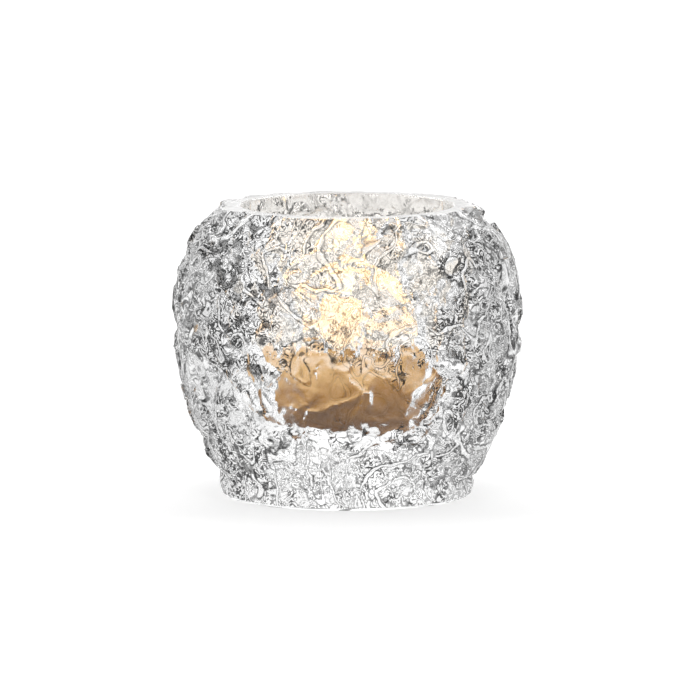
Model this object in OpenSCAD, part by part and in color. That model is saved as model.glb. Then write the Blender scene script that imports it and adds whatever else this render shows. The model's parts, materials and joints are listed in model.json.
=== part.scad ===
// Tealight holder: a heavy pressed-glass bowl with a rough, icy outside, and the tealight that burns in it.
// Millimetres. The origin is the centre of the foot's flat face and +Z is up.

/* [Glass bowl] */
// Widest diameter of the glass
body_d = 85; // [80:0.5:105]
// Height from the foot to the ground rim
body_h = 70; // [58:0.5:90]
// Height of the widest level above the foot
belly_h = 42; // [34:0.5:46]
// Diameter of the flat foot
foot_d = 60.5; // [50:0.5:72]
// Height of the plain band above the foot
foot_band_h = 4; // [3:0.5:8]
// How much wider the band is at its top, on the radius
foot_flare = 0.8; // [0.4:0.1:2]
// Bevel ground round the foot
foot_bevel = 0.6; // [0.3:0.1:1]
// Fullness of the shoulder: 2 is an ellipse, more is squarer
shoulder_power = 2.4; // [2:0.1:3]
// Fullness of the flank below the belly
flank_power = 1.8; // [1.5:0.1:2.5]
// Width of the ground flat round the mouth
rim_land = 6; // [4:0.5:8]
// Bevel on the inner edge of the mouth
mouth_bevel = 0.5; // [0.3:0.1:1]

/* [Well] */
// Thickness of glass under the well
floor_t = 19.5; // [12:0.5:25]
// Gap all round between the tealight's lip and the foot of the well
well_gap = 4; // [2:0.25:8]
// How much wider the well is at its mouth, on the radius
well_draft = 1.75; // [1:0.25:3]
// Radius of the corner between the well's wall and its floor
well_corner = 2.5; // [1:0.5:4]

/* [Tealight cup] */
// Diameter of the cup at its top, under the lip
cup_d = 38.5; // [36:0.5:50]
// Height of the cup
cup_h = 22; // [16:0.5:28]
// How much narrower the cup is at its foot, on the radius
cup_draft = 0.5; // [0.3:0.1:0.8]
// Wall of the cup
cup_wall = 0.6; // [0.4:0.1:0.9]
// Floor of the cup
cup_floor = 0.8; // [0.6:0.1:1.2]
// How far the lip stands out
cup_lip = 0.5; // [0.3:0.1:0.8]
// Thickness of the lip
cup_lip_t = 0.8; // [0.6:0.1:1.2]
// Bevel round the cup's foot
cup_bevel = 0.6; // [0.3:0.1:1]
// Height of the ring that centres the wick clip
clip_ring_h = 0.5; // [0.3:0.1:0.8]
// Width of that ring
clip_ring_w = 0.8; // [0.5:0.1:1.2]

/* [Wax] */
// Gap between the wax and the cup's wall
wax_gap = 0.3; // [0.2:0.05:0.6]
// How far the wax's edge is below the cup's top
wax_headroom = 3; // [2:0.5:6]
// Depth of the molten dish in the top of the wax
dish_depth = 1.6; // [1:0.1:3]
// Width of solid wax left round the dish
dish_land = 1.6; // [1:0.1:4]
// Rounding of the wax's upper edge
wax_edge = 0.8; // [0.4:0.1:1.2]

/* [Wick and clip] */
// Diameter of the wick
wick_d = 1.9; // [1.4:0.1:2.5]
// Straight length of wick above the dish
wick_stand = 4; // [3:0.5:8]
// Radius of the curl at the wick's tip
curl_r = 4; // [3:0.5:6]
// How far round the tip curls, in degrees
curl_angle = 50; // [20:5:80]
// Diameter of the wick clip's plate
clip_d = 13; // [10:0.5:20]
// Thickness of the clip's sheet metal
clip_t = 0.3; // [0.2:0.05:0.4]
// Height of the clip's neck above its plate
neck_h = 6; // [4:0.5:8]
// Gap between the wick and the neck, and between the clip and what is round it
clip_gap = 0.05; // [0.03:0.01:0.1]

/* [Hidden] */
$fn = 96;
outline_steps = 24; // levels in each half of the bowl's outline
arc_steps = 8;      // points in a quarter-round corner
eps = 0.01;         // how far a cutting tool runs past a face

body_r = body_d / 2;
foot_r = foot_d / 2;
band_r = foot_r + foot_flare;
cup_r = cup_d / 2;
cup_foot_r = cup_r - cup_draft;
well_floor_r = cup_r + cup_lip + well_gap;
mouth_r = well_floor_r + well_draft;
rim_r = mouth_r + rim_land;

cup_z = floor_t;                      // the cup stands on the well's floor
cup_inner_r = cup_r - cup_wall;
cup_inner_foot_r = cup_foot_r - cup_wall;
clip_r = clip_d / 2;
clip_ring_r = clip_r + clip_gap;
wax_z = cup_z + cup_floor;            // the wax stands on the cup's floor
wax_h = cup_h - cup_floor - wax_headroom;
wax_r = cup_inner_foot_r - wax_gap;
wax_top = wax_z + wax_h;
dish_z = wax_top - dish_depth;
neck_r = wick_d / 2 + clip_gap + clip_t;
wick_z = wax_z + clip_t;              // the wick starts on top of the clip's plate
wick_straight = dish_z + wick_stand - wick_z;

// Radius of a superellipse of half-width a and half-height b, at a distance dz from its widest level.
function bowed(a, b, power, dz) = a * pow(1 - pow(dz / b, power), 1 / power);

// Half-height that makes a superellipse of half-width a pass through radius r at a distance dz.
function half_height(a, r, power, dz) = dz / pow(1 - pow(r / a, power), 1 / power);

// Radius of the bowl's outside at height z, above the foot band.
function bowl_r(z) = z < belly_h
    ? bowed(body_r, half_height(body_r, band_r, flank_power, belly_h - foot_band_h), flank_power, belly_h - z)
    : bowed(body_r, half_height(body_r, rim_r, shoulder_power, body_h - belly_h), shoulder_power, z - belly_h);

// Points of a quarter-round corner about a centre, from one angle to another.
function corner(cx, cz, r, from, to) =
    [for (i = [0:arc_steps]) let (a = from + (to - from) * i / arc_steps) [cx + r * cos(a), cz + r * sin(a)]];

// Outline of the solid glass, from its axis round the foot and up to the axis at the rim.
function bowl_outline() = concat(
    [[0, 0], [foot_r - foot_bevel, 0], [foot_r, foot_bevel]],
    [for (i = [0:outline_steps - 1]) let (z = foot_band_h + (belly_h - foot_band_h) * i / outline_steps) [bowl_r(z), z]],
    [for (i = [0:outline_steps]) let (z = belly_h + (body_h - belly_h) * i / outline_steps) [bowl_r(z), z]],
    [[0, body_h]]
);

// Outline of the well, with a rounded corner at its floor and a bevel at its mouth.
function well_outline() = concat(
    [[0, floor_t]],
    corner(well_floor_r - well_corner, floor_t + well_corner, well_corner, -90, 0),
    [
        [mouth_r, body_h - mouth_bevel],
        [mouth_r + mouth_bevel, body_h],
        [mouth_r + mouth_bevel, body_h + eps],
        [0, body_h + eps]
    ]
);

module glass_bowl() {
    color("lightcyan", 0.45)
    difference() {
        rotate_extrude() polygon(bowl_outline());
        rotate_extrude() polygon(well_outline());
    }
}

// The cup's wall and lip, in the cup's own frame.
module cup_shell() {
    difference() {
        union() {
            cylinder(h = cup_bevel, r1 = cup_foot_r - cup_bevel, r2 = cup_foot_r);
            translate([0, 0, cup_bevel]) cylinder(h = cup_h - cup_bevel, r1 = cup_foot_r, r2 = cup_r);
            translate([0, 0, cup_h - cup_lip_t]) cylinder(h = cup_lip_t, r = cup_r + cup_lip);
        }
        translate([0, 0, cup_floor])
            cylinder(h = cup_h - cup_floor + eps, r1 = cup_inner_foot_r, r2 = cup_inner_r);
    }
}

module tealight_cup() {
    color("aliceblue", 0.5)
    translate([0, 0, cup_z]) {
        cup_shell();
        translate([0, 0, cup_floor])
            difference() {
                cylinder(h = clip_ring_h, r = clip_ring_r + clip_ring_w);
                translate([0, 0, -eps]) cylinder(h = clip_ring_h + 2 * eps, r = clip_ring_r);
            }
    }
}

// Outline of the wax: a puck with a rounded edge and a shallow dish burnt into its top.
function wax_outline() = concat(
    [[0, 0], [wax_r, 0]],
    corner(wax_r - wax_edge, wax_h - wax_edge, wax_edge, 0, 90),
    [[wax_r - dish_land, wax_h], [wax_r - dish_land - dish_depth, wax_h - dish_depth], [0, wax_h - dish_depth]]
);

module wax_slug() {
    color("antiquewhite")
    translate([0, 0, wax_z])
        difference() {
            rotate_extrude() polygon(wax_outline());
            translate([0, 0, -eps]) cylinder(h = wax_h, r = wick_d / 2 + clip_gap);
            translate([0, 0, -eps]) cylinder(h = clip_t + neck_h + clip_gap + eps, r = neck_r + clip_gap);
            translate([0, 0, -eps]) cylinder(h = clip_ring_h + clip_gap + eps, r = clip_ring_r + clip_ring_w + clip_gap);
        }
}

module wick() {
    color("ivory")
    translate([0, 0, wick_z]) {
        cylinder(h = wick_straight, r = wick_d / 2);
        translate([-curl_r, 0, wick_straight])
            rotate([90, 0, 0])
                rotate_extrude(angle = curl_angle) translate([curl_r, 0]) circle(r = wick_d / 2);
    }
}

module wick_clip() {
    color("silver")
    translate([0, 0, wax_z]) {
        cylinder(h = clip_t, r = clip_r);
        difference() {
            cylinder(h = clip_t + neck_h, r = neck_r);
            translate([0, 0, clip_t]) cylinder(h = neck_h + eps, r = neck_r - clip_t);
        }
    }
}

glass_bowl();
tealight_cup();
wax_slug();
wick();
wick_clip();
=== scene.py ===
"""Looks of the tealight holder: thick icy glass, and the lit tealight that stands in its well."""

import json
import logging
import math
from collections.abc import Sequence
from dataclasses import dataclass, field
from enum import Enum
from typing import Any

import bmesh
import bpy
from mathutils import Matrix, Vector
from mathutils.bvhtree import BVHTree

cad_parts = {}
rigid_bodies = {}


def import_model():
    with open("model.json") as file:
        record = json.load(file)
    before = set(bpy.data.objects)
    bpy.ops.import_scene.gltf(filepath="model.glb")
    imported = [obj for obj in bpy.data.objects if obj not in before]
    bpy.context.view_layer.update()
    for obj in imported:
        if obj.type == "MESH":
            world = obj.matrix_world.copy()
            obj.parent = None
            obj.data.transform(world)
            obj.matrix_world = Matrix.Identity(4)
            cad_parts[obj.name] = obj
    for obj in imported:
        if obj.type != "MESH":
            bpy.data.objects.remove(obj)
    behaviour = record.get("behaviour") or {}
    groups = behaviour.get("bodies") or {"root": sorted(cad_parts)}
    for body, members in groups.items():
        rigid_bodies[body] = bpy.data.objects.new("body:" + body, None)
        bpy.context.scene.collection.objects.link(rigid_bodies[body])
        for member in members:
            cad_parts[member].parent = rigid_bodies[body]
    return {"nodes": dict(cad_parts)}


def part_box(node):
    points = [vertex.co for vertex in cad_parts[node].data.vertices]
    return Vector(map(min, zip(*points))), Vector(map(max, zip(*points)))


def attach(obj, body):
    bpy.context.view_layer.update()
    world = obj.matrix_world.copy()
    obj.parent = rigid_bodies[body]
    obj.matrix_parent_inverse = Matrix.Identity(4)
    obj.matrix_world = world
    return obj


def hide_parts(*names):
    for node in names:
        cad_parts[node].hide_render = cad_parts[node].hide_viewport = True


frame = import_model()

MM = 0.001
UP = Vector((0.0, 0.0, 1.0))
PLAIN_WAY = "plain_way"
RIDGE_PHASE = "ridge_phase"
Colour = tuple[float, float, float, float]
Stops = tuple[tuple[float, Colour], ...]
Span = tuple[float, float]
Outline = list[tuple[float, float]]
Socket = bpy.types.NodeSocket

log = logging.getLogger("tealight_holder")


class Body(Enum):
    """The bodies that the new pieces ride on."""

    HOLDER = "holder"
    CANDLE = "candle"


class Slot(Enum):
    """The record's material slots."""

    GLASS = "clear_glass"
    CUP = "clear_cup"
    WAX = "wax"
    WICK = "wick_cotton"
    CLIP = "clip_metal"


def grey(level: float) -> Colour:
    """Returns an opaque grey."""
    return (level, level, level, 1.0)


class Graph:
    """Grows a node tree, for a material, for the world or for a geometry modifier."""

    def __init__(self, tree: bpy.types.NodeTree) -> None:
        """Starts from an empty tree."""
        tree.nodes.clear()
        self.tree = tree

    def node(self, kind: str, inputs: dict[Any, Any] | None = None, **settings: Any) -> bpy.types.Node:
        """Adds a node.

        Args:
            kind: The node's type name.
            inputs: Values or sockets for its inputs, by the input's name or number.
            **settings: The node's own settings.

        Returns:
            The new node.
        """
        made = self.tree.nodes.new(kind)
        for name, value in settings.items():
            setattr(made, name, value)
        for key, value in (inputs or {}).items():
            if isinstance(value, Socket):
                self.tree.links.new(value, made.inputs[key])
            else:
                made.inputs[key].default_value = value
        return made

    def maths(self, operation: str, *values: Any) -> Socket:
        """Adds a Math node.

        Args:
            operation: The operation's name.
            *values: Numbers or sockets, in order.

        Returns:
            The result's socket.
        """
        return self.node("ShaderNodeMath", dict(enumerate(values)), operation=operation).outputs[0]

    def vectors(self, operation: str, *values: Any) -> Socket:
        """Adds a Vector Math node.

        Args:
            operation: The operation's name.
            *values: Vectors or sockets, in order.

        Returns:
            The result's socket.
        """
        return self.node("ShaderNodeVectorMath", dict(enumerate(values)), operation=operation).outputs[0]

    def scaled(self, vector: Any, factor: Any) -> Socket:
        """Multiplies a vector by a number."""
        return self.node("ShaderNodeVectorMath", {0: vector, "Scale": factor}, operation="SCALE").outputs[0]

    def length(self, vector: Socket) -> Socket:
        """Measures a vector's length."""
        return self.node("ShaderNodeVectorMath", {0: vector}, operation="LENGTH").outputs["Value"]

    def axis(self, vector: Socket, letter: str) -> Socket:
        """Takes one coordinate of a vector, by the axis's letter."""
        return self.node("ShaderNodeSeparateXYZ", {0: vector}).outputs[letter]

    def mixed(self, share: Socket, start: Any, end: Any) -> Socket:
        """Mixes two numbers: the start where the share is zero, the end where it is one."""
        return self.node("ShaderNodeMix", {0: share, 2: start, 3: end}, data_type="FLOAT").outputs[0]

    def at_least(self, share: Socket, floor: float) -> Socket:
        """Lifts a share of zero to the floor, and keeps one at one."""
        return self.maths("MULTIPLY_ADD", share, 1 - floor, floor)

    def grey(self, level: Socket) -> Socket:
        """Makes a grey of a number."""
        return self.node("ShaderNodeCombineColor", {0: level, 1: level, 2: level}).outputs[0]

    def eased(self, value: Any, low: float, high: float, at_low: Any, at_high: Any) -> Socket:
        """Maps a value smoothly from one range to another.

        Args:
            value: The socket to map.
            low: Value at which the result is at_low.
            high: Value at which the result is at_high.
            at_low: Result at low and below.
            at_high: Result at high and above.

        Returns:
            The result's socket.
        """
        inputs = {"Value": value, "From Min": low, "From Max": high, "To Min": at_low, "To Max": at_high}
        return self.node("ShaderNodeMapRange", inputs, interpolation_type="SMOOTHSTEP").outputs["Result"]

    def noise(self, place: Any, size: float, detail: float = 2.0, roughness: float = 0.5,
              distortion: float = 0.0, output: str = "Fac") -> Socket:
        """Adds a Noise Texture whose features are about as wide as size.

        Args:
            place: The socket of the coordinates.
            size: Width of the broadest features, in metres.
            detail: Octaves.
            roughness: How strong each finer octave is.
            distortion: How far the pattern is bent.
            output: The output's name, Fac or Color.

        Returns:
            The output's socket.
        """
        inputs = {"Vector": place, "Scale": 1 / size, "Detail": detail, "Roughness": roughness,
                  "Distortion": distortion}
        return self.node("ShaderNodeTexNoise", inputs).outputs[output]

    def cells(self, place: Any, size: float, feature: str, **further: float) -> bpy.types.Node:
        """Adds a Voronoi Texture whose cells are about as wide as size.

        Args:
            place: The socket of the coordinates.
            size: Width of a cell, in metres.
            feature: What the texture measures.
            **further: Values of further inputs, by name.

        Returns:
            The texture's node.
        """
        inputs = {"Vector": place, "Scale": 1 / size, **further}
        return self.node("ShaderNodeTexVoronoi", inputs, feature=feature)

    def oval(self, place: Socket, middle: Span, half: Span) -> Socket:
        """Measures how far a place is from the middle of an oval that is drawn across and up.

        Args:
            place: The coordinates, in metres.
            middle: The oval's middle, across and up.
            half: The oval's half width and half height.

        Returns:
            Zero in the middle, and one on the oval's edge.
        """
        squares = []
        for letter, centre, reach in zip("XZ", middle, half, strict=True):
            away = self.maths("DIVIDE", self.maths("SUBTRACT", self.axis(place, letter), centre), reach)
            squares.append(self.maths("POWER", self.maths("ABSOLUTE", away), 2.0))
        return self.maths("SQRT", self.maths("ADD", *squares))

    def off_ridge(self, phase: Socket) -> Socket:
        """Measures how far a place is from the nearest long ridge, in shares of the ridges' spacing."""
        return self.maths("ABSOLUTE", self.maths("SUBTRACT", self.maths("FRACT", phase), 0.5))

    def ramp(self, value: Any, stops: Stops) -> Socket:
        """Adds a colour ramp.

        Args:
            value: The socket that runs along the ramp.
            stops: Positions and colours, in order.

        Returns:
            The colour's socket.
        """
        made = self.node("ShaderNodeValToRGB", {"Fac": value})
        elements = made.color_ramp.elements
        while len(elements) < len(stops):
            elements.new(0.5)
        for element, (position, colour) in zip(elements, stops, strict=True):
            element.position = position
            element.color = colour
        return made.outputs["Color"]

    def bumped(self, height: Socket, depth: float, strength: float = 1.0) -> Socket:
        """Adds a bump.

        Args:
            height: The bump's height.
            depth: How deep a height of one is, in metres.
            strength: How much of the bump shows.

        Returns:
            The bumped normal.
        """
        inputs = {"Height": height, "Distance": depth, "Strength": strength}
        return self.node("ShaderNodeBump", inputs).outputs["Normal"]

    def surface(self, inputs: dict[str, Any]) -> bpy.types.Node:
        """Adds the material's surface and its output.

        Args:
            inputs: Values or sockets of the surface's inputs, by name.

        Returns:
            The surface's node.
        """
        made = self.node("ShaderNodeBsdfPrincipled", inputs)
        self.node("ShaderNodeOutputMaterial", {"Surface": made.outputs[0]})
        return made


def new_material(name: str) -> tuple[bpy.types.Material, Graph, Socket]:
    """Makes an empty node material.

    Args:
        name: The material's name.

    Returns:
        The material, its graph and its object coordinates in metres.
    """
    material = bpy.data.materials.new(name)
    material.use_nodes = True
    graph = Graph(material.node_tree)
    return material, graph, graph.node("ShaderNodeTexCoord").outputs["Object"]


@dataclass(frozen=True)
class IcyGlass:
    """Clear pressed glass with an icy skin of fine squiggles, with painted shade along them and each ridge's
    foot.

    The dark squiggle lines, ridge lines, blots and darker sides are painted shade in the tint, standing in
    for the dark lines that refraction draws, and work from outside only. From inside the glass the skin is
    smooth, apart from the mouth, and light that leaves it at a grazing angle meets a lower index, so that
    none stays trapped.
    """

    ior: float = 1.52
    edge_ior: float = 1.15
    edge_facing: Span = (0.10, 0.30)
    roughness: float = 0.08
    gloss: float = 0.6
    bump: float = 1.2 * MM
    bump_depth: float = 0.12 * MM
    bump_unchilled: float = 0.2
    bump_on_ridge: float = 0.4
    squiggle: float = 1.8 * MM
    squiggle_drawn: float = 0.55
    squiggle_lines: float = 4.2
    squiggle_edge: Span = (0.25, 0.60)
    squiggle_shade: float = 0.93
    squiggle_cut: float = 0.16
    crowding: float = 0.6
    crowding_left: Span = (-36 * MM, -20 * MM)
    crowding_right: Span = (8 * MM, 30 * MM)
    ridge_crest: Span = (0.05, 0.09)
    ridge_foot: Span = (0.09, 0.15)
    ridge_shade: float = 0.88
    ridge_shade_least: float = 0.3
    blot: float = 5.0 * MM
    blot_edge: Span = (0.625, 0.643)
    blot_shade: float = 0.72
    flank: Span = (16 * MM, 36 * MM)
    flank_clear: float = 0.76
    mouth: Span = (60 * MM, 64 * MM)
    band_inner: Span = (15 * MM, 21 * MM)
    band_outer: Span = (29 * MM, 35 * MM)
    band_patches: float = 0.12
    band_blots: float = 0.05
    patch: float = 6.0 * MM
    patch_edge: Span = (0.38, 0.6)
    least_texture_and_shade: float = 0.5
    ragged: float = 11 * MM
    ragged_reach: float = 2.6
    island: float = 4.5 * MM
    island_reach: float = 2.4
    behind: Span = (-8 * MM, 0.0)
    behind_reach: float = 3.0
    zone_edge: Span = (0.8, 1.05)
    smooth_zones: tuple[tuple[Span, Span, float], ...] = (
        ((-3 * MM, 29.5 * MM), (27 * MM, 11.5 * MM), 0.05),
        ((2 * MM, 52 * MM), (20 * MM, 16 * MM), 0.6),
        ((-2 * MM, 8 * MM), (14 * MM, 8 * MM), 0.8),
    )

    def squiggles(self, graph: Graph, place: Socket) -> Socket:
        """Draws thin lines that follow each other like the contours of a map, and crowd towards both sides;
        they cut the bump and carry painted shade.

        Args:
            graph: The graph to grow.
            place: The coordinates, in metres.

        Returns:
            One on a line, zero between the lines.
        """
        drawn_out = graph.vectors("MULTIPLY", place, (1.0, self.squiggle_drawn, 1.0))
        ground = graph.noise(drawn_out, self.squiggle, detail=1.0, distortion=1.2)
        wave = graph.maths("COSINE", graph.maths("MULTIPLY", ground, math.tau * self.squiggle_lines))
        aside = graph.axis(place, "X")
        crowded = graph.maths("ADD", graph.eased(aside, *self.crowding_right, 0.0, self.crowding),
                              graph.eased(aside, *self.crowding_left, self.crowding, 0.0))
        return graph.eased(graph.maths("ADD", wave, crowded), *self.squiggle_edge, 0.0, 1.0)

    def dense_band(self, graph: Graph, place: Socket) -> Socket:
        """Marks the upright band on the left of the front, where the bump and the painted shade are denser.

        Args:
            graph: The graph to grow.
            place: The coordinates, in metres.

        Returns:
            One in the band, zero away from it.
        """
        left = graph.maths("MULTIPLY", graph.axis(place, "X"), -1.0)
        return graph.maths("MULTIPLY", graph.eased(left, *self.band_inner, 0.0, 1.0),
                           graph.eased(left, *self.band_outer, 1.0, 0.0))

    def texture_and_shade_share(self, graph: Graph, place: Socket, band: Socket) -> Socket:
        """Says how strong the skin's bump and its painted shade are: it varies in patches, and three ragged
        zones are smoother.

        Args:
            graph: The graph to grow.
            place: The coordinates, in metres.
            band: One in the upright band on the left of the front.

        Returns:
            The share, from nearly zero to one.
        """
        patches = graph.noise(place, self.patch, detail=2.0)
        patches = graph.maths("MULTIPLY_ADD", band, self.band_patches, patches)
        share = graph.eased(patches, *self.patch_edge, self.least_texture_and_shade, 1.0)
        ragged = graph.noise(place, self.ragged, detail=3.0, distortion=0.6)
        island = graph.noise(place, self.island, detail=2.0, distortion=0.9)
        shift = graph.maths("MULTIPLY", graph.maths("SUBTRACT", ragged, 0.5), self.ragged_reach)
        shift = graph.maths("MULTIPLY_ADD", graph.maths("SUBTRACT", island, 0.5), self.island_reach, shift)
        behind = graph.eased(graph.axis(place, "Y"), *self.behind, 0.0, self.behind_reach)
        shift = graph.maths("ADD", shift, behind)
        for middle, half, least in self.smooth_zones:
            away = graph.maths("ADD", graph.oval(place, middle, half), shift)
            share = graph.maths("MULTIPLY", share, graph.eased(away, *self.zone_edge, least, 1.0))
        return share

    def ridge_lines(self, graph: Graph, off: Socket, beside: Socket, texture_and_shade: Socket) -> Socket:
        """Draws painted shade: dark lines on both sides of each ridge.

        Args:
            graph: The graph to grow.
            off: How far the place is from the nearest ridge.
            beside: Zero on a ridge's crest, one beside it.
            texture_and_shade: How strong the skin's bump and its painted shade are.

        Returns:
            How dark the line is.
        """
        foot = graph.maths("MULTIPLY", beside, graph.eased(off, *self.ridge_foot, 1.0, 0.0))
        return graph.maths("MULTIPLY", graph.maths("MULTIPLY", foot, self.ridge_shade),
                           graph.at_least(texture_and_shade, self.ridge_shade_least))

    def shade_blots(self, graph: Graph, place: Socket, band: Socket, texture_and_shade: Socket) -> Socket:
        """Scatters a few dark blots of painted shade.

        Args:
            graph: The graph to grow.
            place: The coordinates, in metres.
            band: One in the upright band on the left of the front.
            texture_and_shade: How strong the skin's bump and its painted shade are.

        Returns:
            How dark the blot is.
        """
        spread = graph.noise(place, self.blot, detail=2.5, distortion=0.8)
        spread = graph.maths("MULTIPLY_ADD", band, self.band_blots, spread)
        return graph.maths("MULTIPLY", graph.eased(spread, *self.blot_edge, 0.0, self.blot_shade), texture_and_shade)

    def skin_way(self, graph: Graph, height: Socket, inside: Socket) -> Socket:
        """Gives the skin its normal.

        Args:
            graph: The graph to grow.
            height: Height of the bump that is seen from outside.
            inside: One where the smooth skin is seen from inside.

        Returns:
            The normal.
        """
        plain = graph.node("ShaderNodeAttribute", attribute_name=PLAIN_WAY).outputs["Vector"]
        plain = graph.node("ShaderNodeVectorTransform", {0: plain}, vector_type="NORMAL",
                           convert_from="OBJECT", convert_to="WORLD").outputs[0]
        ways = {0: inside, 4: graph.bumped(height, self.bump_depth), 5: graph.scaled(plain, -1.0)}
        return graph.node("ShaderNodeMix", ways, data_type="VECTOR").outputs[1]

    def build(self) -> bpy.types.Material:
        """Returns the finished material."""
        material, graph, place = new_material("icy_glass")
        band = self.dense_band(graph, place)
        texture_and_shade = self.texture_and_shade_share(graph, place, band)
        squiggles = self.squiggles(graph, place)
        off = graph.off_ridge(graph.node("ShaderNodeAttribute", attribute_name=RIDGE_PHASE).outputs["Fac"])
        beside = graph.eased(off, *self.ridge_crest, 0.0, 1.0)
        inside = graph.maths("MULTIPLY", graph.node("ShaderNodeNewGeometry").outputs["Backfacing"],
                             graph.eased(graph.axis(place, "Z"), *self.mouth, 1.0, 0.0))

        lumps = graph.noise(place, self.bump, detail=2.0, roughness=0.55, distortion=1.0)
        height = graph.maths("MULTIPLY_ADD", squiggles, -self.squiggle_cut, lumps)
        height = graph.maths("MULTIPLY", height, graph.at_least(texture_and_shade, self.bump_unchilled))
        height = graph.maths("MULTIPLY", height, graph.at_least(beside, self.bump_on_ridge))
        normal = self.skin_way(graph, height, inside)

        # The tint is painted shade: dark ridge lines, squiggle lines and blots, and darker sides.
        clear = graph.maths("SUBTRACT", 1.0, self.ridge_lines(graph, off, beside, texture_and_shade))
        lines = graph.maths("MULTIPLY", graph.maths("MULTIPLY", squiggles, self.squiggle_shade), texture_and_shade)
        lines = graph.maths("MULTIPLY", lines, beside)
        for shade in (lines, self.shade_blots(graph, place, band, texture_and_shade)):
            clear = graph.maths("MULTIPLY", clear, graph.maths("SUBTRACT", 1.0, shade))
        aside = graph.maths("ABSOLUTE", graph.axis(place, "X"))
        clear = graph.maths("MULTIPLY", clear, graph.eased(aside, *self.flank, 1.0, self.flank_clear))
        clear = graph.maths("POWER", graph.maths("MAXIMUM", clear, inside), 2.0)

        facing = graph.node("ShaderNodeLayerWeight", {"Blend": 0.5, "Normal": normal}).outputs["Facing"]
        leaving = graph.eased(facing, *self.edge_facing, self.ior, self.edge_ior)
        surface = graph.surface({
            "Base Color": graph.grey(clear), "Roughness": self.roughness, "Specular Tint": grey(self.gloss),
            "IOR": graph.mixed(inside, self.ior, leaving), "Transmission Weight": 1.0, "Normal": normal})
        surface.inputs["IOR"].default_value = self.ior
        return material


@dataclass(frozen=True)
class PolishedGlass:
    """The same glass where it is polished: the well, with a warm tint of painted flame light near the flame,
    and the foot.
    """

    ior: float = 1.52
    tint: Colour = (0.985, 0.99, 0.99, 1.0)
    gloss: float = 0.4
    painted_flame_light: Colour = (0.985, 0.93, 0.85, 1.0)
    painted_light_heights: Span = (34 * MM, 44 * MM)
    smear: float = 9 * MM
    smear_edge: Span = (0.45, 0.7)
    haze: float = 0.02

    def build(self) -> bpy.types.Material:
        """Returns the finished material."""
        material, graph, place = new_material("polished_glass")
        smears = graph.noise(place, self.smear, detail=3.0)
        painted_light_share = graph.eased(graph.axis(place, "Z"), *self.painted_light_heights, 0.0, 1.0)
        # The warm tint near the flame is painted flame light.
        graph.surface({
            "Base Color": graph.ramp(painted_light_share, ((0.0, self.tint), (1.0, self.painted_flame_light))),
            "Roughness": graph.eased(smears, *self.smear_edge, 0.0, self.haze),
            "IOR": self.ior, "Transmission Weight": 1.0, "Specular Tint": grey(self.gloss)})
        return material


@dataclass(frozen=True)
class GroundGlass:
    """The same glass where the rim is ground flat: a bright satin, finely scratched round the mouth, with a
    faint painted glow of candlelight.
    """

    ior: float = 1.52
    tint: Colour = grey(0.88)
    scratch: float = 0.5 * MM
    scratch_depth: float = 0.02 * MM
    scratch_strength: float = 0.4
    smear: float = 8 * MM
    smear_edge: Span = (0.35, 0.65)
    satin: Span = (0.22, 0.42)
    candlelight: Colour = (1.0, 0.97, 0.92, 1.0)
    painted_rim_glow: float = 0.09

    def build(self) -> bpy.types.Material:
        """Returns the finished material."""
        material, graph, place = new_material("ground_glass")
        rings = graph.node("ShaderNodeTexNoise",
                           {"W": graph.length(place), "Scale": 1 / self.scratch, "Detail": 2.0},
                           noise_dimensions="1D").outputs["Fac"]
        smears = graph.noise(place, self.smear, detail=3.0)
        # The emission is a faint painted glow of candlelight on the rim.
        graph.surface({
            "Base Color": self.tint, "Roughness": graph.eased(smears, *self.smear_edge, *self.satin),
            "IOR": self.ior, "Transmission Weight": 1.0,
            "Emission Color": self.candlelight, "Emission Strength": self.painted_rim_glow,
            "Normal": graph.bumped(rings, self.scratch_depth, self.scratch_strength)})
        return material


@dataclass(frozen=True)
class ClearPlastic:
    """Moulded clear polycarbonate with faint flow marks."""

    ior: float = 1.33
    tint: Colour = (0.97, 0.98, 0.99, 1.0)
    flow: float = 5 * MM
    flow_edge: Span = (0.4, 0.7)
    flow_depth: float = 0.05 * MM
    flow_strength: float = 0.6
    gloss: Span = (0.01, 0.05)

    def build(self) -> bpy.types.Material:
        """Returns the finished material."""
        material, graph, place = new_material("clear_plastic")
        flow = graph.noise(place, self.flow, detail=2.0, distortion=0.5)
        graph.surface({
            "Base Color": self.tint, "Roughness": graph.eased(flow, *self.flow_edge, *self.gloss),
            "IOR": self.ior, "Transmission Weight": 1.0,
            "Normal": graph.bumped(flow, self.flow_depth, self.flow_strength)})
        return material


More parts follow.
